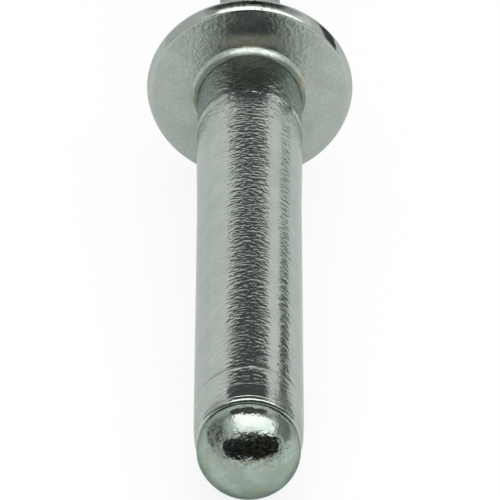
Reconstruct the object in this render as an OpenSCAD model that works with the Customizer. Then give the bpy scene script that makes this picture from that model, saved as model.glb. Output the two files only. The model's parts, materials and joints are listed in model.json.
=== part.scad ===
// Unset pop rivet with a domed flange, lying on its flange rim and the end of its sleeve.
// Both pieces are drawn upright, with the flange's flat underside at z = 0, the dome above it
// and the blind end below it, and are then laid down by one shared module.

/* [Sleeve] */
// Outer diameter of the sleeve
sleeve_d = 4.8; // [4:0.1:5.6]
// Length of the sleeve from the flange's underside to its end
sleeve_len = 27.9; // [22:0.1:34]
// Radius of the rounding round the sleeve's outer end
end_round = 0.3; // [0.15:0.05:0.45]
// Gain in radius of the slightly swollen root below the flange
root_swell = 0.06; // [0.02:0.01:0.1]
// Length of the swollen root
root_len = 5.5; // [2:0.5:8]
// Length over which the swollen root runs out into the sleeve
root_runout = 4.5; // [2:0.5:8]
// Radius of the concave flare between sleeve and flange
flare_round = 0.75; // [0.65:0.05:1]
// Height of the flare, which meets the underside in a crease
flare_h = 0.58; // [0.3:0.02:0.6]

/* [Flange] */
// Largest diameter of the flange
flange_d = 9.7; // [8.8:0.05:11]
// Height of the rim's widest ring above the underside
rim_h = 0.55; // [0.5:0.05:0.8]
// Height of the dome's top above the underside
dome_h = 1.5; // [1.4:0.05:2]
// Radius of the rounding between rim and dome
rim_round = 0.35; // [0.2:0.05:0.45]
// Radius of the rounding between rim and underside
under_round = 0.05; // [0.04:0.01:0.15]
// How much the rim draws in from its widest ring to the underside
rim_draft = 0.15; // [0.05:0.01:0.2]

/* [Mandrel] */
// Diameter of the stem
stem_d = 2.9; // [2.5:0.05:3.1]
// Length of the stem that stands out of the dome
stem_out = 27; // [24:0.5:32]
// Diameter of the ball-shaped head
head_d = 4.61; // [4.3:0.01:4.75]
// Radius of the rounding round the head's seat
head_round = 0.2; // [0.1:0.02:0.3]
// Radial step of the cone that joins the head to the stem
neck_step = 0.25; // [0.1:0.05:0.3]
// Length of the tail's taper
tail_len = 1.6; // [1:0.1:3]
// Diameter of the tail's blunt tip
tail_d = 1.2; // [0.8:0.1:1.8]

/* [Break notch] */
// Distance from the head's seat to the middle of the notch
notch_place = 1.8; // [1.5:0.1:4]
// Width across the flats that are left in the notch
notch_neck = 1.9; // [1.6:0.05:2.2]
// Number of dents coined round the stem
notch_sides = 4; // [3:1:6]

/* [Fits] */
// Radial clearance between stem and bore
bore_gap = 0.05; // [0.02:0.01:0.1]
// Clearance between the staked lip's crest and the bottom of the stem's groove
lip_gap = 0.01; // [0.005:0.005:0.02]
// Depth of the groove that the staked lip holds the stem by
lip_bite = 0.05; // [0.04:0.01:0.08]
// Width of the staked lip
lip_w = 0.6; // [0.55:0.05:0.8]
// Distance from the dome's top down to the lip's crest
lip_place = 0.35; // [0.3:0.05:0.45]

/* [Rest] */
// Turn about its own axis in which the rivet lies
lie_turn = 40; // [0:5:90]

/* [Hidden] */
$fn = 96;

sleeve_r = sleeve_d / 2;
root_r = sleeve_r + root_swell;
flange_r = flange_d / 2;
stem_r = stem_d / 2;
head_r = head_d / 2;
bore_r = stem_r + bore_gap;
groove_r = stem_r - lip_bite;
lip_r = groove_r + lip_gap;

// The dome's circle touches the rim's rounding from inside
rim_center_r = flange_r - rim_round;
dome_rise = dome_h - rim_h;
dome_r = (pow(rim_center_r, 2) + pow(dome_rise, 2) - pow(rim_round, 2)) / (2 * (dome_rise - rim_round));
dome_center_z = dome_h - dome_r;

// The lip staked into the bore's mouth in the dome
lip_crest_z = dome_h - lip_place;
lip_bottom = lip_crest_z - lip_w / 2;
lip_top = lip_crest_z + lip_w / 2;

// The head's seat lies on the sleeve's end face
seat_z = -sleeve_len;
head_z = seat_z - head_round;
tip_z = dome_h + stem_out;

// Angle and height at which rim and sleeve end both touch the floor
contact_run = rim_h + sleeve_len - end_round;
contact_drop = rim_center_r - (sleeve_r - end_round);
contact_reach = norm([contact_run, contact_drop]);
lie_tilt = atan2(contact_drop, contact_run) + asin((rim_round - end_round) / contact_reach);
lie_height = rim_center_r * cos(lie_tilt) + rim_round - rim_h * sin(lie_tilt);

// The lying rivet reaches from the head's nose to the lower edge of the tail's tip
nose_reach = -head_z * cos(lie_tilt) + head_r;
tip_reach = tip_z * cos(lie_tilt) + tail_d / 2 * sin(lie_tilt);

rivet_body_color = [0.70, 0.71, 0.69];
mandrel_color = [0.62, 0.63, 0.60];

// Lays an upright piece down along Y, blind end towards -Y, with the part's middle over the origin
module laid_down() {
    translate([0, (nose_reach - tip_reach) / 2, lie_height])
        rotate([lie_tilt - 90, 0, 0])
            rotate([0, 0, lie_turn])
                children();
}

// Half section of the flange, from the axis outwards
module flange_section() {
    under_r = flange_r - rim_draft;
    under_center = [under_r - under_round, under_round];
    rim_center = [rim_center_r, rim_h];
    lean = atan2(rim_center[0] - under_center[0], rim_center[1] - under_center[1])
        + asin((rim_round - under_round) / norm(rim_center - under_center));
    side = [cos(lean), -sin(lean)];
    dome_side = [rim_center[0], rim_h - dome_center_z] / (dome_r - rim_round);
    intersection() {
        translate([0, dome_center_z])
            circle(dome_r, $fn = 360);
        polygon([
            [0, 0],
            [under_center[0], 0],
            under_center,
            rim_center,
            rim_center + rim_round * dome_side,
            rim_center + 2 * rim_round * dome_side,
            [0, dome_h + rim_round]
        ]);
    }
    polygon([
        [0, under_round],
        under_center,
        under_center + under_round * side,
        rim_center + rim_round * side,
        rim_center,
        [0, rim_h]
    ]);
    translate(under_center)
        circle(under_round);
    translate(rim_center)
        circle(rim_round);
}

// Half section of the sleeve, from the axis outwards, its root reaching up into the flange
module sleeve_section() {
    root_top = rim_h / 2;
    flare_foot_r = root_r + flare_round - sqrt(pow(flare_round, 2) - pow(flare_h, 2));
    polygon([
        [0, root_top],
        [root_r, root_top],
        [root_r, -root_len],
        [sleeve_r, -root_len - root_runout],
        [sleeve_r, seat_z + end_round],
        [sleeve_r - end_round, seat_z + end_round],
        [sleeve_r - end_round, seat_z],
        [0, seat_z]
    ]);
    translate([sleeve_r - end_round, seat_z + end_round])
        circle(end_round);
    difference() {
        translate([0, -flare_h])
            square([flare_foot_r, flare_h + root_top]);
        translate([root_r + flare_round, -flare_h])
            circle(flare_round);
    }
}

// Half section of what the bore takes out: chamfered at the blind end, with the lip left in, whose
// upper flank runs on as the mouth in the dome
module bore_section() {
    spare = 1;
    mouth_r = lip_r + 2 * (bore_r - lip_r);
    mouth_z = lip_crest_z + lip_w;
    polygon([
        [0, seat_z - spare],
        [bore_r + neck_step + spare, seat_z - spare],
        [bore_r + neck_step, seat_z],
        [bore_r, seat_z + neck_step],
        [bore_r, lip_bottom],
        [lip_r, lip_crest_z],
        [mouth_r, mouth_z],
        [0, mouth_z]
    ]);
}

module rivet_body() {
    color(rivet_body_color)
        laid_down()
            difference() {
                union() {
                    rotate_extrude()
                        flange_section();
                    rotate_extrude()
                        sleeve_section();
                }
                rotate_extrude()
                    bore_section();
            }
}

// Half section of the mandrel: ball head on its seat, neck cone, grooved stem and tapered tail
module mandrel_section() {
    intersection() {
        translate([0, head_z])
            circle(head_r, $fn = 180);
        translate([0, head_z - head_d])
            square([head_d, head_d]);
    }
    translate([head_r - head_round, head_z])
        circle(head_round);
    polygon([
        [0, head_z],
        [head_r - head_round, head_z],
        [head_r - head_round, seat_z],
        [stem_r + neck_step, seat_z],
        [stem_r, seat_z + neck_step],
        [stem_r, lip_bottom],
        [groove_r, lip_crest_z],
        [stem_r, lip_top],
        [stem_r, tip_z - tail_len],
        [tail_d / 2, tip_z],
        [0, tip_z]
    ]);
}

// Wedges that coin the break notch into the stem, one from each side
module notch_dents() {
    dent_depth = stem_r - notch_neck / 2;
    for (side = [0:notch_sides - 1])
        rotate([0, 0, side * 360 / notch_sides])
            translate([notch_neck / 2, stem_r, seat_z + notch_place])
                rotate([90, 0, 0])
                    linear_extrude(stem_d)
                        polygon([
                            [0, 0],
                            [2 * dent_depth, 2 * dent_depth],
                            [2 * dent_depth, -2 * dent_depth]
                        ]);
}

module mandrel() {
    color(mandrel_color)
        laid_down()
            difference() {
                rotate_extrude()
                    mandrel_section();
                notch_dents();
            }
}

rivet_body();
mandrel();
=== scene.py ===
import json
import math
import bpy
from mathutils import Matrix, Vector, noise


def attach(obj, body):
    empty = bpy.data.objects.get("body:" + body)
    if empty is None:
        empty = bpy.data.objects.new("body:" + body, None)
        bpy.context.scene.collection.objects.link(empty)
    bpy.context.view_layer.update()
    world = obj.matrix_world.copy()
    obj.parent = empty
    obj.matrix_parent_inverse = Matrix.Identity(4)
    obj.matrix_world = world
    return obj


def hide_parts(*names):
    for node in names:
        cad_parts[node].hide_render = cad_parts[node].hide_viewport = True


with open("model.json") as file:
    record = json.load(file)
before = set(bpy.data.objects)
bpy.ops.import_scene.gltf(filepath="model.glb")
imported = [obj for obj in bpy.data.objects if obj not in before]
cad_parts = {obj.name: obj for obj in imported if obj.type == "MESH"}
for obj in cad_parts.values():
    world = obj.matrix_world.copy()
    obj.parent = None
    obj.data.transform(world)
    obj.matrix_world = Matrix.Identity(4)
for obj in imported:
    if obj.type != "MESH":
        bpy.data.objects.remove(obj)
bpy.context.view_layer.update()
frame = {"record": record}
print("Frame loaded")

scene = bpy.context.scene
scene.view_settings.view_transform = "Standard"
mm = 0.001


# Nodes are added through one helper: settings are the node's own options, inputs are numbers or other nodes' outputs

def addNode(tree, kind, inputs=None, **settings):
    node = tree.nodes.new(kind)
    for option, value in settings.items():
        setattr(node, option, value)
    for place, value in (inputs or {}).items():
        if isinstance(value, bpy.types.NodeSocket):
            tree.links.new(value, node.inputs[place])
        else:
            node.inputs[place].default_value = value
    return node


def mathNode(tree, operation, *values):
    return addNode(tree, "ShaderNodeMath", dict(enumerate(values)), operation=operation).outputs[0]


def times(tree, product, *values):
    for value in values:
        product = mathNode(tree, "MULTIPLY", product, value)
    return product


def vectorNode(tree, operation, first, second):
    return addNode(tree, "ShaderNodeVectorMath", {0: first, 1: second}, operation=operation).outputs[0]


def ramp(tree, value, low, high, toLow=0.0, toHigh=1.0, smooth=True):
    inputs = {"Value": value, "From Min": low, "From Max": high, "To Min": toLow, "To Max": toHigh}
    return addNode(tree, "ShaderNodeMapRange", inputs,
                   interpolation_type="SMOOTHSTEP" if smooth else "LINEAR").outputs["Result"]


def newMaterial(name):
    material = bpy.data.materials.new(name)
    material.use_nodes = True
    material.node_tree.nodes.clear()
    return material, material.node_tree


def addObject(name, data):
    thing = bpy.data.objects.new(name, data)
    scene.collection.objects.link(thing)
    return thing


# Camera

cameraSettings = {
    "place": (0.000416, -0.250200, 0.137347),
    "lookDown": 29.308,  # degrees below level
    "turn": 0.092,  # degrees to the left
    "lens": 433.7,
    "sensor": 36,
}


def addCamera(s):
    data = bpy.data.cameras.new("camera")
    data.lens = s["lens"]
    data.sensor_width = s["sensor"]
    scene.camera = addObject("camera", data)
    scene.camera.location = s["place"]
    scene.camera.rotation_euler = (math.radians(90 - s["lookDown"]), 0, math.radians(s["turn"]))


# Studio: a white room with a pale floor, a softbox overhead, and dimmer cards that only the metal mirrors

roomSettings = {
    "floorSize": 3.0,
    "floorColor": (0.88, 0.88, 0.88, 1),
    "floorGlow": 0.85,  # how far the floor shows plain white; the rest takes the object's shadow
    "mirroredGlow": 0.4,  # the same for the floor that the metal mirrors
    "skyLevel": 0.8,
}

middleSpot, ballSpot = -0.014, -0.029  # along Y: halfway down the sleeve, and the ball's nose
spotHeight = 0.005
ballReach = 0.018  # so close to the ball that nothing else mirrors the card

# Each card faces a spot on the rivet. Turn, lift and size are angles seen from there, reach is the distance, and fade
# is the share of sides, bottom and top that fades out
cardSettings = {
    "softbox": {"spot": middleSpot, "turn": 0, "lift": 90, "reach": 0.255, "shift": (0.075, -0.041, 0),
                "size": (83, 50), "level": 2.3, "fade": (0.15, 0.15, 0.15)},
    "frontOpening": {"spot": middleSpot, "turn": 178, "lift": 26, "reach": 0.33, "size": (78, 66), "level": 0.085,
                     "fade": (0.3, 0.2, 0.2)},
    "noseOpening": {"spot": ballSpot, "turn": 173, "lift": 26, "reach": ballReach, "size": (138, 64), "level": 0.035,
                    "fade": (0.2, 0.2, 0.2)},
    "backGap": {"spot": middleSpot, "turn": -2, "lift": 52, "reach": 0.45, "size": (62, 36), "level": 0.1,
                "fade": (0.3, 0.05, 0.3)},
    "backHaze": {"spot": middleSpot, "turn": 0, "lift": 60, "reach": 0.6, "size": (90, 44), "level": 0.5,
                 "fade": (0.4, 0.4, 0.2)},
    "leftHaze": {"spot": middleSpot, "turn": -88, "lift": 26, "reach": 0.5, "size": (100, 50), "level": 0.75,
                 "fade": (0.3, 0.3, 0.3)},
    "rightHaze": {"spot": middleSpot, "turn": 80, "lift": 18, "reach": 0.5, "size": (80, 34), "level": 0.8,
                  "fade": (0.3, 0.3, 0.3)},
    "leftShade": {"spot": ballSpot, "turn": -75, "lift": 20, "reach": ballReach, "size": (64, 50), "level": 0.4,
                  "fade": (0.3, 0.3, 0.4)},
    "rightShade": {"spot": ballSpot, "turn": 62, "lift": 12, "reach": ballReach, "size": (60, 38), "level": 0.34,
                   "fade": (0.3, 0.3, 0.4)},
    "sideStrip": {"spot": middleSpot, "turn": 51, "lift": 11, "reach": 0.1, "size": (39, 16), "level": 0.09,
                  "fade": (0.4, 0.15, 0.15)},
}


def squareMesh(name, half):
    mesh = bpy.data.meshes.new(name)
    mesh.from_pydata([(-half, -half, 0), (half, -half, 0), (half, half, 0), (-half, half, 0)], [], [(0, 1, 2, 3)])
    return mesh


def showMix(tree, share, first, second):
    mix = addNode(tree, "ShaderNodeMixShader", {0: share, 1: first.outputs[0], 2: second.outputs[0]})
    addNode(tree, "ShaderNodeOutputMaterial", {"Surface": mix.outputs[0]})


def seenAsBackground(tree, straight=1.0, mirrored=1.0):  # for camera rays, and for glossy and transmission rays
    path = addNode(tree, "ShaderNodeLightPath").outputs
    bounced = mathNode(tree, "MAXIMUM", path["Is Glossy Ray"], path["Is Transmission Ray"])
    return mathNode(tree, "MAXIMUM", times(tree, path["Is Camera Ray"], straight), times(tree, bounced, mirrored))


def addRoom(s):
    world = bpy.data.worlds.new("whiteRoom")
    scene.world = world
    world.use_nodes = True
    tree = world.node_tree
    level = ramp(tree, seenAsBackground(tree), 0.0, 1.0, s["skyLevel"], 1.0, smooth=False)
    tree.nodes["Background"].inputs["Color"].default_value = (1, 1, 1, 1)
    tree.links.new(level, tree.nodes["Background"].inputs["Strength"])

    floor = addObject("floor", squareMesh("floor", s["floorSize"] / 2))
    material, tree = newMaterial("floorPaper")
    paper = addNode(tree, "ShaderNodeBsdfDiffuse", {"Color": s["floorColor"]})
    glow = addNode(tree, "ShaderNodeEmission", {"Strength": 1.0})
    showMix(tree, seenAsBackground(tree, s["floorGlow"], s["mirroredGlow"]), paper, glow)
    floor.data.materials.append(material)


def addCard(name, s):
    card = addObject(name, squareMesh(name, 1))
    turn, lift = math.radians(s["turn"]), math.radians(s["lift"])
    away = Vector((math.sin(turn) * math.cos(lift), math.cos(turn) * math.cos(lift), math.sin(lift)))
    card.location = Vector((0, s["spot"], spotHeight)) + away * s["reach"] + Vector(s.get("shift", (0, 0, 0)))
    card.scale = [s["reach"] * math.tan(math.radians(angle / 2)) for angle in s["size"]] + [1]
    card.rotation_mode = "QUATERNION"
    card.rotation_quaternion = (-away).to_track_quat("Z", "Y")
    isLamp = s["level"] > 1  # the others show only in the metal
    card.visible_camera = False
    card.visible_diffuse = isLamp
    card.visible_shadow = False
    card.visible_transmission = isLamp

    material, tree = newMaterial(name)
    place = addNode(tree, "ShaderNodeTexCoord").outputs["Object"]
    parts = addNode(tree, "ShaderNodeSeparateXYZ", {0: place}).outputs
    sides, bottom, top = s["fade"]
    mask = times(tree, ramp(tree, mathNode(tree, "ABSOLUTE", parts["X"]), 1 - sides, 1.0, 1.0, 0.0),
                 ramp(tree, parts["Y"], -1.0, bottom - 1), ramp(tree, parts["Y"], 1 - top, 1.0, 1.0, 0.0))
    clear = addNode(tree, "ShaderNodeBsdfTransparent")
    glow = addNode(tree, "ShaderNodeEmission", {"Strength": s["level"]})
    showMix(tree, mask, clear, glow)
    card.data.materials.append(material)


addCamera(cameraSettings)
addRoom(roomSettings)
for cardName, card in cardSettings.items():
    addCard(cardName, card)
print("Camera and studio ready")


# Turned shapes in the rivet's own axes, in mm: z runs up its axis from the flange's flat underside

flangeSeat = [m for m in frame["record"]["mounts"] if m["name"] == "flange_seat"][0]
onAxis = 1e-6  # a point this close to the axis closes the shape
sharpAngle = 32  # degrees


def rivetPlace():
    zAxis = -Vector(flangeSeat["axis"]).normalized()
    xAxis = Vector((1, 0, 0))
    place = Matrix((xAxis, zAxis.cross(xAxis), zAxis)).transposed().to_4x4()
    place.translation = Vector(flangeSeat["pos_m"])
    return place


def arc(center, radius, startDeg, endDeg, steps):
    points = []
    for i in range(steps + 1):
        a = math.radians(startDeg + (endDeg - startDeg) * i / steps)
        points.append((center[0] + radius * math.cos(a), center[1] + radius * math.sin(a)))
    return points


def run(start, end, spacing):  # points between two ends, without the ends
    steps = max(1, round(math.dist(start, end) / spacing))
    return [(start[0] + (end[0] - start[0]) * i / steps, start[1] + (end[1] - start[1]) * i / steps)
            for i in range(1, steps)]


def runOut(startRadius, endRadius, top, length, steps):  # from one radius to another in a smooth double curve
    points = []
    for i in range(steps + 1):
        share = i / steps
        radius = startRadius + (endRadius - startRadius) * share * share * (3 - 2 * share)
        points.append((radius, top - length * share))
    return points


def turnedMesh(name, profile, segments, closed, shape):
    verts, faces, rings = [], [], []
    for r, z in profile:
        if r < onAxis:
            rings.append([len(verts)])
            verts.append((0, 0, z * mm))
            continue
        ring = []
        for k in range(segments):
            angle = 2 * math.pi * k / segments
            rr, zz = shape(r, z, angle)
            ring.append(len(verts))
            verts.append((rr * math.cos(angle) * mm, rr * math.sin(angle) * mm, zz * mm))
        rings.append(ring)
    pairs = list(zip(rings, rings[1:]))
    if closed:
        pairs.append((rings[-1], rings[0]))
    for low, high in pairs:
        for k in range(segments):
            n = (k + 1) % segments
            if len(low) == 1:
                faces.append((low[0], high[n], high[k]))
            elif len(high) == 1:
                faces.append((low[k], low[n], high[0]))
            else:
                faces.append((low[k], low[n], high[n], high[k]))
    mesh = bpy.data.meshes.new(name)
    mesh.from_pydata(verts, [], faces)
    mesh.transform(rivetPlace())
    mesh.shade_smooth()
    mesh.set_sharp_from_angle(angle=math.radians(sharpAngle))
    return addObject(name, mesh)


bodySettings = {
    "segments": 192,
    "spacing": 0.25,
    "draftSpacing": 0.04,
    "faceSpacing": 0.12,
    "steps": {"dome": 20, "rim": 14, "under": 6, "flare": 14, "runOut": 16, "mark": 8, "taper": 12, "step": 7,
              "end": 12},
    "flangeRadius": 4.85,
    "rimHeight": 0.55,
    "rimRound": 0.35,
    "rimDraft": 0.15,
    "rimBulge": 0.018,
    "bulgeEase": 8,  # degrees that the roundings leave to the bulge at either end
    "underRound": 0.05,
    "domeHeight": 1.5,
    "neckRadius": 2.44,
    "neckLength": 2.95,
    "crestRadius": 2.488,
    "crestRise": 0.5,
    "crestFall": 0.35,
    "rootRadius": 2.445,
    "rootLength": 5.5,
    "rootRunout": 4.5,
    "flareRound": 0.75,
    "flareHeight": 0.56,
    "sleeveRadius": 2.4,
    "sleeveLength": 27.9,
    "endTaper": 0.045,
    "endTaperLength": 1.3,
    "endStepRound": 0.06,
    "endStepPlace": 0.32,
    "endStepTurn": 55,  # degrees that the step's rounding turns inwards
    "endRound": 0.16,
    "boreRadius": 1.5,
    "boreChamfer": 0.25,
    "lipRadius": 1.41,
    "lipWidth": 0.6,
    "lipPlace": 0.35,
    "markPlace": 25.53,  # fine ring rolled round the sleeve, from the flange
    "markWidth": 0.14,
    "markDepth": 0.014,
    "waviness": 0.0015,
    "wavesRound": 1.4,
    "wavesAlong": 0.3,
    "faceWaviness": 0.003,
    "faceWaves": 0.6,
    "faceWavesOffset": 3,
    "faceStart": 0.3,  # from the root outwards
    "faceTop": 0.4,
}


def flangeProfile(s):  # from the bore's mouth over dome and rim to the flat underside
    steps, ease = s["steps"], s["bulgeEase"]
    rimCenter = (s["flangeRadius"] - s["rimRound"], s["rimHeight"])
    rise = s["domeHeight"] - s["rimHeight"]
    domeRadius = (rimCenter[0] ** 2 + rise ** 2 - s["rimRound"] ** 2) / (2 * (rise - s["rimRound"]))
    domeCenter = s["domeHeight"] - domeRadius
    domeEdge = math.degrees(math.atan2(rimCenter[1] - domeCenter, rimCenter[0]))
    slope = (s["boreRadius"] - s["lipRadius"]) / (s["lipWidth"] / 2)
    mouth = s["lipRadius"] + slope * (s["lipPlace"] - s["boreRadius"] ** 2 / (2 * domeRadius))
    mouthEdge = math.degrees(math.acos(mouth / domeRadius))
    underCenter = (s["flangeRadius"] - s["rimDraft"] - s["underRound"], s["underRound"])
    lean = math.degrees(math.atan2(rimCenter[0] - underCenter[0], rimCenter[1] - underCenter[1])
                        + math.asin((s["rimRound"] - s["underRound"]) / math.dist(rimCenter, underCenter)))
    under = arc(underCenter, s["underRound"], -lean - ease, -90, steps["under"])
    points = arc((0, domeCenter), domeRadius, mouthEdge, domeEdge, steps["dome"])
    points += arc(rimCenter, s["rimRound"], domeEdge, ease - lean, steps["rim"])[1:]
    draft = run(points[-1], under[0], s["draftSpacing"])
    for i, (r, z) in enumerate(draft):
        bulge = s["rimBulge"] * math.sin(math.pi * (i + 1) / (len(draft) + 1))
        points.append((r + bulge * math.cos(math.radians(lean)), z - bulge * math.sin(math.radians(lean))))
    return points + under


def sleeveProfile(s, start):  # from the flange's underside down the sleeve and up the bore to its lip
    steps = s["steps"]
    flareCenter = (s["neckRadius"] + s["flareRound"], -s["flareHeight"])
    foot = math.degrees(math.asin(s["flareHeight"] / s["flareRound"]))
    flare = arc(flareCenter, s["flareRound"], 180 - foot, 180, steps["flare"])
    points = run(start, flare[0], s["faceSpacing"]) + flare
    points += run(points[-1], (s["neckRadius"], -s["neckLength"]), s["spacing"])
    crest = -s["neckLength"] - s["crestRise"]
    points += runOut(s["neckRadius"], s["crestRadius"], -s["neckLength"], s["crestRise"], steps["runOut"])
    points += runOut(s["crestRadius"], s["rootRadius"], crest, s["crestFall"], steps["runOut"])[1:]
    points += run(points[-1], (s["rootRadius"], -s["rootLength"]), s["spacing"])
    points += runOut(s["rootRadius"], s["sleeveRadius"], -s["rootLength"], s["rootRunout"], steps["runOut"])
    markTop = -s["markPlace"] + s["markWidth"] / 2
    points += run(points[-1], (s["sleeveRadius"], markTop), s["spacing"])
    for i in range(steps["mark"] + 1):
        share = i / steps["mark"]
        points.append((s["sleeveRadius"] - s["markDepth"] * math.sin(math.pi * share) ** 2,
                       markTop - s["markWidth"] * share))
    end = -s["sleeveLength"]
    taperTop = end + s["endStepPlace"] + s["endTaperLength"]
    points += run(points[-1], (s["sleeveRadius"], taperTop), s["spacing"] / 2)
    for i in range(steps["taper"] + 1):
        share = i / steps["taper"]
        points.append((s["sleeveRadius"] - s["endTaper"] * share ** 3, taperTop - s["endTaperLength"] * share))
    stepCenter = (points[-1][0] - s["endStepRound"], points[-1][1])
    points += arc(stepCenter, s["endStepRound"], 0, -s["endStepTurn"], steps["step"])[1:]
    points += arc((points[-1][0] - s["endRound"], end + s["endRound"]), s["endRound"], 0, -90, steps["end"])
    lip = s["domeHeight"] - s["lipPlace"]
    points.append((s["boreRadius"] + s["boreChamfer"], end))
    points.append((s["boreRadius"], end + s["boreChamfer"]))
    points.append((s["boreRadius"], lip - s["lipWidth"] / 2))
    points.append((s["lipRadius"], lip))
    return points


def bodyProfile(s):
    points = flangeProfile(s)
    points += sleeveProfile(s, points[-1])
    return points[::-1]  # in this order the faces point outwards


def bodyShape(r, z, angle):  # a faint waviness on the sleeve and on the flange's underside
    s = bodySettings
    around = Vector((math.cos(angle), math.sin(angle), 0))
    if -s["sleeveLength"] + s["endStepPlace"] < z < -s["flareHeight"] and r > s["sleeveRadius"] - s["endTaper"] * 2:
        r += s["waviness"] * noise.noise(around * s["wavesRound"] + Vector((0, 0, z * s["wavesAlong"])))
    elif r > s["rootRadius"] + s["faceStart"] and z < s["faceTop"]:
        z += s["faceWaviness"] * noise.noise(around * r * s["faceWaves"] + Vector((0, 0, s["faceWavesOffset"])))
    return r, z


mandrelSettings = {
    "segments": 192,
    "spacing": 0.5,
    "tailSpacing": 0.2,
    "steps": {"ball": 64, "band": 12, "seat": 8, "notch": 8},
    "headRadius": 2.32,
    "headBandStart": 70,  # degrees round the ball from its nose, where it turns into a band drawn in towards the seat
    "headBandRound": 1.4,
    "headBandDraft": 10,
    "headRound": 0.2,
    "headPlace": -28.1,
    "seatPlace": -27.9,
    "stemRadius": 1.45,
    "neckStep": 0.25,
    "notchPlace": -26.1,
    "notchNeck": 0.95,
    "notchTurn": 40,
    "notchSides": 4,
    "grooveRadius": 1.4,
    "groovePlace": 1.15,
    "grooveWidth": 0.6,
    "tipPlace": 28.5,
    "tailLength": 1.6,
    "tailRadius": 0.6,
    "unevenness": 0.012,
    "unevenScale": 0.7,
    "unevenTop": 0.15,  # from the middle of the head upwards
}


def mandrelProfile(s):
    stem, steps = s["stemRadius"], s["steps"]
    points = arc((0, s["headPlace"]), s["headRadius"], -90, s["headBandStart"] - 90, steps["ball"])
    points[0] = (0, s["headPlace"] - s["headRadius"])
    start, draft = math.radians(s["headBandStart"] - 90), s["headBandDraft"]
    bandRound = s["headBandRound"]
    turn = (points[-1][0] - bandRound * math.cos(start), points[-1][1] - bandRound * math.sin(start))
    points += arc(turn, bandRound, math.degrees(start), draft, steps["band"])[1:]
    edge = s["seatPlace"] - s["headRound"]
    points.append((points[-1][0] - (edge - points[-1][1]) * math.tan(math.radians(draft)), edge))
    points += arc((points[-1][0] - s["headRound"], edge), s["headRound"], draft, 90, steps["seat"])[1:]
    points.append((stem + s["neckStep"], s["seatPlace"]))
    points.append((stem, s["seatPlace"] + s["neckStep"]))
    dent = stem / math.cos(math.pi / s["notchSides"]) - s["notchNeck"]
    points += [(stem, s["notchPlace"] + dent * i / steps["notch"]) for i in range(-steps["notch"], steps["notch"] + 1)]
    groove = s["groovePlace"]
    points += run(points[-1], (stem, groove - s["grooveWidth"] / 2), s["spacing"])
    points.append((stem, groove - s["grooveWidth"] / 2))
    points.append((s["grooveRadius"], groove))
    points.append((stem, groove + s["grooveWidth"] / 2))
    points += run(points[-1], (stem, s["tipPlace"] - s["tailLength"]), s["spacing"])
    points.append((stem, s["tipPlace"] - s["tailLength"]))
    points += run(points[-1], (s["tailRadius"], s["tipPlace"]), s["tailSpacing"])
    points += [(s["tailRadius"], s["tipPlace"]), (0, s["tipPlace"])]
    return points


def mandrelShape(r, z, angle):  # the notch's dents, and a slightly uneven head
    s = mandrelSettings
    rise = abs(z - s["notchPlace"])
    if rise < s["stemRadius"]:
        step = 2 * math.pi / s["notchSides"]
        off = (angle - math.radians(s["notchTurn"]) + step / 2) % step - step / 2
        r = min(r, (s["notchNeck"] + rise) / math.cos(off))
    if z < s["headPlace"] + s["unevenTop"]:
        spot = Vector((r * math.cos(angle), r * math.sin(angle), z)) * s["unevenScale"]
        share = 1 + s["unevenness"] * noise.noise(spot) / s["headRadius"]
        r, z = r * share, s["headPlace"] + (z - s["headPlace"]) * share
    return r, z


body = turnedMesh("sleeveWithFlange", bodyProfile(bodySettings), bodySettings["segments"], True, bodyShape)
mandrel = turnedMesh("mandrelWithHead", mandrelProfile(mandrelSettings), mandrelSettings["segments"], False,
                     mandrelShape)
print("Pieces turned")


# Shader node groups for the finishes. Vectors are places in the rivet's axes, sizes and heights are in metres

number, vector = "NodeSocketFloat", "NodeSocketVector"


def newGroup(name, inputs, outputs):
    tree = bpy.data.node_groups.new(name, "ShaderNodeTree")
    for label, kind, value in inputs:
        socket = tree.interface.new_socket(label, in_out="INPUT", socket_type=kind)
        socket.default_value = value
    for label in outputs:
        tree.interface.new_socket(label, in_out="OUTPUT", socket_type=number)
    return tree, addNode(tree, "NodeGroupInput").outputs, addNode(tree, "NodeGroupOutput").inputs


def inSizes(tree, given):  # the place, counted in feature sizes
    return addNode(tree, "ShaderNodeVectorMath", {0: given["Vector"], 3: mathNode(tree, "DIVIDE", 1.0, given["Size"])},
                   operation="SCALE").outputs[0]


def drawnRings():
    tree, given, made = newGroup("drawnRings", [
        ("Vector", vector, (0, 0, 0)), ("Pitch", number, 0.0001), ("Length", number, 0.0005), ("Height", number, 1e-6),
        ("Softness", number, 0.4)], ["Height", "Value"])
    across = mathNode(tree, "DIVIDE", 1.0, given["Length"])
    along = mathNode(tree, "DIVIDE", 1.0, given["Pitch"])
    scale = addNode(tree, "ShaderNodeCombineXYZ", {0: across, 1: across, 2: along}).outputs[0]
    streaks = addNode(tree, "ShaderNodeTexNoise", {
        "Vector": vectorNode(tree, "MULTIPLY", given["Vector"], scale), "Scale": 1.0, "Detail": 2.0,
        "Roughness": given["Softness"]}).outputs["Fac"]
    tree.links.new(times(tree, streaks, given["Height"]), made["Height"])
    tree.links.new(streaks, made["Value"])
    return tree


def clouds():
    tree, given, made = newGroup("clouds", [
        ("Vector", vector, (0, 0, 0)), ("Size", number, 0.001), ("Detail", number, 3.0), ("Low", number, 0.4),
        ("High", number, 0.6)], ["Value"])
    value = addNode(tree, "ShaderNodeTexNoise", {"Vector": inSizes(tree, given), "Scale": 1.0,
                                                 "Detail": given["Detail"]}).outputs["Fac"]
    tree.links.new(ramp(tree, value, given["Low"], given["High"]), made["Value"])
    return tree


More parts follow.
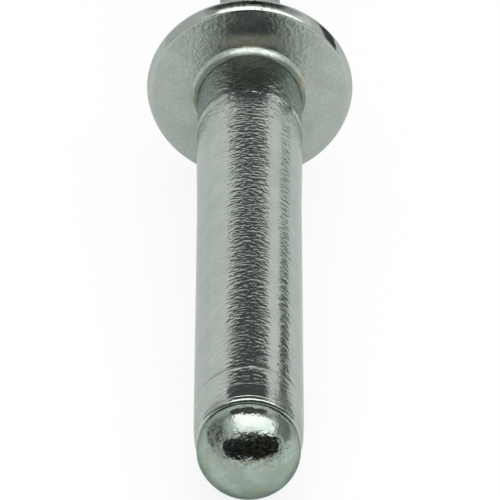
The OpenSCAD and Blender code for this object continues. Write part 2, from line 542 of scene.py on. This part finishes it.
def specks():
    tree, given, made = newGroup("specks", [
        ("Vector", vector, (0, 0, 0)), ("Size", number, 0.0005), ("Share", number, 0.2), ("Width", number, 0.3)],
        ["Mask"])
    cell = addNode(tree, "ShaderNodeTexVoronoi", {"Vector": inSizes(tree, given), "Scale": 1.0}).outputs
    pick = addNode(tree, "ShaderNodeSeparateColor", {0: cell["Color"]}).outputs[0]
    chosen = mathNode(tree, "LESS_THAN", pick, given["Share"])
    dot = ramp(tree, cell["Distance"], 0.0, given["Width"], 1.0, 0.0)
    tree.links.new(times(tree, dot, chosen), made["Mask"])
    return tree


def softSpot():
    tree, given, made = newGroup("softSpot", [
        ("Vector", vector, (0, 0, 0)), ("Center", vector, (0, 0, 0)), ("Size", vector, (0.001, 0.001, 0.001)),
        ("Core", number, 0.2)], ["Mask"])
    away = vectorNode(tree, "SUBTRACT", given["Vector"], given["Center"])
    away = vectorNode(tree, "DIVIDE", away, given["Size"])
    reach = addNode(tree, "ShaderNodeVectorMath", {0: away}, operation="LENGTH").outputs["Value"]
    tree.links.new(ramp(tree, reach, given["Core"], 1.0, 1.0, 0.0), made["Mask"])
    return tree


groups = {"rings": drawnRings(), "clouds": clouds(), "specks": specks(), "spot": softSpot()}


def rivetAxes(tree):  # object coordinates turned back into the rivet's own axes
    place = rivetPlace()
    return addNode(tree, "ShaderNodeMapping", {
        "Vector": addNode(tree, "ShaderNodeTexCoord").outputs["Object"], "Location": place.to_translation(),
        "Rotation": place.to_euler()}, vector_type="TEXTURE").outputs[0]


def useGroup(tree, name, place, inputs):
    return addNode(tree, "ShaderNodeGroup", {"Vector": place, **inputs}, node_tree=groups[name]).outputs


def cloudMask(tree, place, look):
    return useGroup(tree, "clouds", place, look)["Value"]


def spotMask(tree, place, center, size):  # both in mm
    return useGroup(tree, "spot", place, {"Center": [v * mm for v in center], "Size": [v * mm for v in size]})["Mask"]


def zone(tree, value, limits, toLow=0.0, toHigh=1.0, smooth=True):  # limits in mm
    return ramp(tree, value, limits[0] * mm, limits[1] * mm, toLow, toHigh, smooth)


def mixColor(tree, share, first, second):
    node = addNode(tree, "ShaderNodeMix", {0: share}, data_type="RGBA")
    for socket, value in zip([i for i in node.inputs if i.type == "RGBA"], (first, second)):
        if isinstance(value, bpy.types.NodeSocket):
            tree.links.new(value, socket)
        else:
            socket.default_value = value
    return [o for o in node.outputs if o.type == "RGBA"][0]


def mixValue(tree, share, first, second):
    return addNode(tree, "ShaderNodeMix", {0: share, 2: first, 3: second}, data_type="FLOAT").outputs[0]


def showMetal(tree, tone, metal, roughness, edge, height):
    bump = addNode(tree, "ShaderNodeBump", {"Strength": 1.0, "Distance": 1.0, "Height": height}).outputs[0]
    shader = addNode(tree, "ShaderNodeBsdfPrincipled", {
        "Base Color": tone, "Metallic": metal, "Roughness": roughness, "Specular Tint": edge, "Normal": bump})
    addNode(tree, "ShaderNodeOutputMaterial", {"Surface": shader.outputs[0]})


# Zones, spots and marks are in mm in the rivet's axes. A share says how much of a colour its mask lets through
bodyFinish = {
    "color": (0.455, 0.5, 0.465, 1),
    "edge": (0.7, 0.74, 0.72, 1),
    "rimZone": (4.58, 4.66),  # outwards
    "neckStart": (-4.6, -3.3),  # upwards, as the next two
    "neckEnd": (-0.75, -0.4),
    "sleeveEnd": (-0.7, -0.3),

    "dull": (0.378, 0.423, 0.39, 1),
    "dullShare": 0.6,
    "blotches": {"Size": 1.2 * mm, "Detail": 5.0, "Low": 0.35, "High": 0.7},
    "neckColor": (0.45, 0.495, 0.46, 1),
    "neckShare": 0.8,
    "neckStreak": (0.56, 0.61, 0.57, 1),
    "streakShare": 0.5,
    "streakRange": (0.5, 0.65),
    "fleck": (0.355, 0.39, 0.367, 1),
    "fleckShare": 0.4,
    "sleeveFlecksLess": 0.3,
    "flecks": {"Size": 0.16 * mm, "Detail": 2.0, "Low": 0.4, "High": 0.65},

    "roughness": (0.09, 0.15),
    "faceRoughness": (0.2, 0.26),
    "rimRoughness": 0.1,
    "neckRoughness": 0.13,

    "rings": {"Pitch": 0.16 * mm, "Length": 0.27 * mm},
    "ringHeight": 1.5e-5,
    "ringZone": (-24, -6),
    "ringGain": (1.2, 1.6),
    "neckRingGain": 1.7,
    "scratches": {"Pitch": 0.16 * mm, "Length": 5 * mm},
    "scratchRange": (0.7, 0.84),
    "scratchHeight": 4.5e-6,
    "faceGrain": {"Size": 0.2 * mm, "Detail": 3.0, "Low": 0.25, "High": 0.75},
    "faceHeight": 7e-6,

    "stain": (0.42, 0.36, 0.2, 1),
    "stainMetal": 0.55,
    "stainGrain": {"Size": 0.25 * mm, "Detail": 3.0, "Low": 0.35, "High": 0.6},
    "stains": [((0.0, -2.95, 0.0), (2.4, 0.6, 0.5), 0.75), ((2.5, -0.7, -0.15), (0.22, 0.75, 0.5), 1.0),
               ((-2.72, 0.2, -0.1), (0.14, 0.5, 0.4), 0.8)],
    # Dark spots: three in the crease at the sleeve's root and one at the rim's inner corner; rimMarks streak the rim's
    # top in the same dark colour
    "darkMark": (0.12, 0.12, 0.1, 1),
    "darkSpots": [((1.19, -2.42, -0.3), 0.12), ((-1.0, -2.5, -0.25), 0.1), ((2.62, 0.3, -0.3), 0.1),
                  ((0.55, -4.62, 0.1), 0.12)],
    "rimMarks": ((0.3, -4.8, 0.4), (1.9, 0.35, 0.6)),
    "markStreaks": {"Pitch": 0.3 * mm, "Length": 0.16 * mm},
    "markRange": (0.5, 0.6),
}


def finishBody(s):
    material, tree = newMaterial("zincPlateDrawn")
    place = rivetAxes(tree)
    parts = addNode(tree, "ShaderNodeSeparateXYZ", {0: place}).outputs
    height = parts["Z"]
    radius = mathNode(tree, "SQRT", mathNode(tree, "ADD", mathNode(tree, "POWER", parts["X"], 2.0),
                                             mathNode(tree, "POWER", parts["Y"], 2.0)))
    onRim = zone(tree, radius, s["rimZone"])
    onNeck = times(tree, zone(tree, height, s["neckStart"]), zone(tree, height, s["neckEnd"], 1.0, 0.0))
    onSleeve = zone(tree, height, s["sleeveEnd"], 1.0, 0.0)

    ringGain = mathNode(tree, "ADD", zone(tree, height, s["ringZone"], *s["ringGain"], smooth=False),
                        times(tree, onNeck, s["neckRingGain"]))
    rings = useGroup(tree, "rings", place, {**s["rings"], "Height": times(tree, ringGain, s["ringHeight"])})
    scratches = ramp(tree, useGroup(tree, "rings", place, s["scratches"])["Value"], *s["scratchRange"],
                     0.0, s["scratchHeight"])
    offRim = mathNode(tree, "SUBTRACT", 1.0, onRim)
    faceHeight = times(tree, cloudMask(tree, place, s["faceGrain"]), s["faceHeight"], offRim)
    total = mixValue(tree, onSleeve, faceHeight, mathNode(tree, "ADD", rings["Height"], scratches))

    blotches = cloudMask(tree, place, s["blotches"])
    tone = mixColor(tree, times(tree, blotches, s["dullShare"]), s["color"], s["dull"])
    tone = mixColor(tree, times(tree, onNeck, s["neckShare"]), tone, s["neckColor"])
    streaks = ramp(tree, rings["Value"], *s["streakRange"], 0.0, s["streakShare"])
    tone = mixColor(tree, times(tree, onNeck, streaks), tone, s["neckStreak"])
    fleckShare = mathNode(tree, "SUBTRACT", s["fleckShare"], times(tree, onSleeve, s["sleeveFlecksLess"]))
    tone = mixColor(tree, times(tree, fleckShare, cloudMask(tree, place, s["flecks"])), tone, s["fleck"])

    grain = cloudMask(tree, place, s["stainGrain"])
    stained = 0.0
    for center, size, share in s["stains"]:
        spot = spotMask(tree, place, center, size)
        stained = mathNode(tree, "MAXIMUM", times(tree, spot, share), stained)
        tone = mixColor(tree, times(tree, grain, share, spot), tone, s["stain"])
    # dark spots at the sleeve's root and the rim's inner corner, then dark streaks on the rim's top
    for center, size in s["darkSpots"]:
        tone = mixColor(tree, spotMask(tree, place, center, [size] * 3), tone, s["darkMark"])
    marks = ramp(tree, useGroup(tree, "rings", place, s["markStreaks"])["Value"], *s["markRange"])
    tone = mixColor(tree, times(tree, spotMask(tree, place, *s["rimMarks"]), marks), tone, s["darkMark"])

    roughness = mixValue(tree, onSleeve, ramp(tree, blotches, 0.0, 1.0, *s["faceRoughness"]),
                         ramp(tree, blotches, 0.0, 1.0, *s["roughness"]))
    roughness = mixValue(tree, onNeck, mixValue(tree, onRim, roughness, s["rimRoughness"]), s["neckRoughness"])
    metal = ramp(tree, stained, 0.0, 1.0, 1.0, s["stainMetal"], smooth=False)
    showMetal(tree, tone, metal, roughness, s["edge"], total)
    return material


mandrelFinish = {
    "color": (0.395, 0.475, 0.43, 1),
    "edge": (0.45, 0.5, 0.47, 1),
    "dull": (0.25, 0.31, 0.26, 1),
    "dullShare": 0.7,
    "blotches": {"Size": 1.0 * mm, "Detail": 5.0, "Low": 0.35, "High": 0.65},
    "warm": (0.36, 0.37, 0.24, 1),
    "warmShare": 0.6,
    "warmth": {"Size": 0.8 * mm, "Detail": 3.0, "Low": 0.5, "High": 0.75},
    "fineShare": 0.4,
    "fine": {"Size": 0.11 * mm, "Detail": 2.0, "Low": 0.4, "High": 0.62},
    "stem": (0.42, 0.46, 0.43, 1),
    "stemShare": 0.75,
    "stemZone": (-27.6, -27.2),
    "roughness": (0.1, 0.2),

    "mottle": {"Size": 0.6 * mm, "Detail": 3.0, "Low": 0.2, "High": 0.8},
    "mottleHeight": 2.2e-5,
    "grain": {"Size": 0.14 * mm, "Detail": 2.0, "Low": 0.2, "High": 0.8},
    "grainHeight": 4e-6,
    "pits": {"Size": 0.5 * mm, "Share": 0.25, "Width": 0.25},
    "pitDepth": 1.2e-5,
    "pit": (0.2, 0.22, 0.18, 1),
    "pitShare": 0.6,

    # Painted highlight: a paler, less green spot on the ball where the softbox's highlight falls, so that the
    # highlight reads whiter
    "paintedHighlightTint": (0.42, 0.45, 0.42, 1),
    "paintedHighlightSpot": ((0.15, -2.19, -28.87), (1.3, 1.0, 1.1)),
    # Dirt and painted reflection: dark flecks with olive among them. The first spot deepens the dark patch where the
    # ball mirrors the dark opening in front, the second lies left of the highlight
    "dirtAndPaintedReflection": (0.05, 0.06, 0.05, 1),
    "dirtAndPaintedReflectionShare": 0.9,
    "olive": (0.3, 0.27, 0.14, 1),
    "oliveShare": 0.7,
    "flecks": {"Size": 0.16 * mm, "Detail": 3.0, "Low": 0.44, "High": 0.56},
    "dirtAndPaintedReflectionSpots": [((0.3, -1.25, -30.0), (2.3, 1.15, 1.2)), ((-1.55, -1.5, -29.3), (0.9, 0.9, 0.9))],
}


def finishMandrel(s):
    material, tree = newMaterial("zincPlateMottled")
    place = rivetAxes(tree)
    pits = useGroup(tree, "specks", place, s["pits"])["Mask"]
    total = mathNode(tree, "ADD", times(tree, cloudMask(tree, place, s["mottle"]), s["mottleHeight"]),
                     times(tree, cloudMask(tree, place, s["grain"]), s["grainHeight"]))
    total = mathNode(tree, "SUBTRACT", total, times(tree, pits, s["pitDepth"]))

    blotches = cloudMask(tree, place, s["blotches"])
    fine = cloudMask(tree, place, s["fine"])
    onStem = zone(tree, addNode(tree, "ShaderNodeSeparateXYZ", {0: place}).outputs["Z"], s["stemZone"])
    tone = mixColor(tree, times(tree, blotches, s["dullShare"]), s["color"], s["dull"])
    tone = mixColor(tree, times(tree, cloudMask(tree, place, s["warmth"]), s["warmShare"]), tone, s["warm"])
    tone = mixColor(tree, times(tree, pits, s["pitShare"]), tone, s["pit"])
    tone = mixColor(tree, times(tree, fine, s["fineShare"]), tone, s["dull"])
    tone = mixColor(tree, times(tree, onStem, s["stemShare"]), tone, s["stem"])
    # painted highlight: paler colour where the softbox's highlight falls on the ball
    tone = mixColor(tree, spotMask(tree, place, *s["paintedHighlightSpot"]), tone, s["paintedHighlightTint"])

    # dirt and painted reflection: dark flecks, the first spot deepening the ball's mirrored dark patch
    flecks = cloudMask(tree, place, s["flecks"])
    dirtAndPaintedReflectionTone = mixColor(tree, times(tree, fine, s["oliveShare"]), s["dirtAndPaintedReflection"], s["olive"])
    for center, size in s["dirtAndPaintedReflectionSpots"]:
        dirtAndPaintedReflectionMask = times(tree, flecks, spotMask(tree, place, center, size), s["dirtAndPaintedReflectionShare"])
        tone = mixColor(tree, dirtAndPaintedReflectionMask, tone, dirtAndPaintedReflectionTone)

    roughness = ramp(tree, blotches, 0.0, 1.0, *s["roughness"])
    showMetal(tree, tone, 1.0, roughness, s["edge"], total)
    return material


body.data.materials.append(finishBody(bodyFinish))
mandrel.data.materials.append(finishMandrel(mandrelFinish))
print("Finishes ready")

for piece, node in ((body, "rivet_body"), (mandrel, "mandrel")):
    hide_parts(node)
    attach(piece, "root")
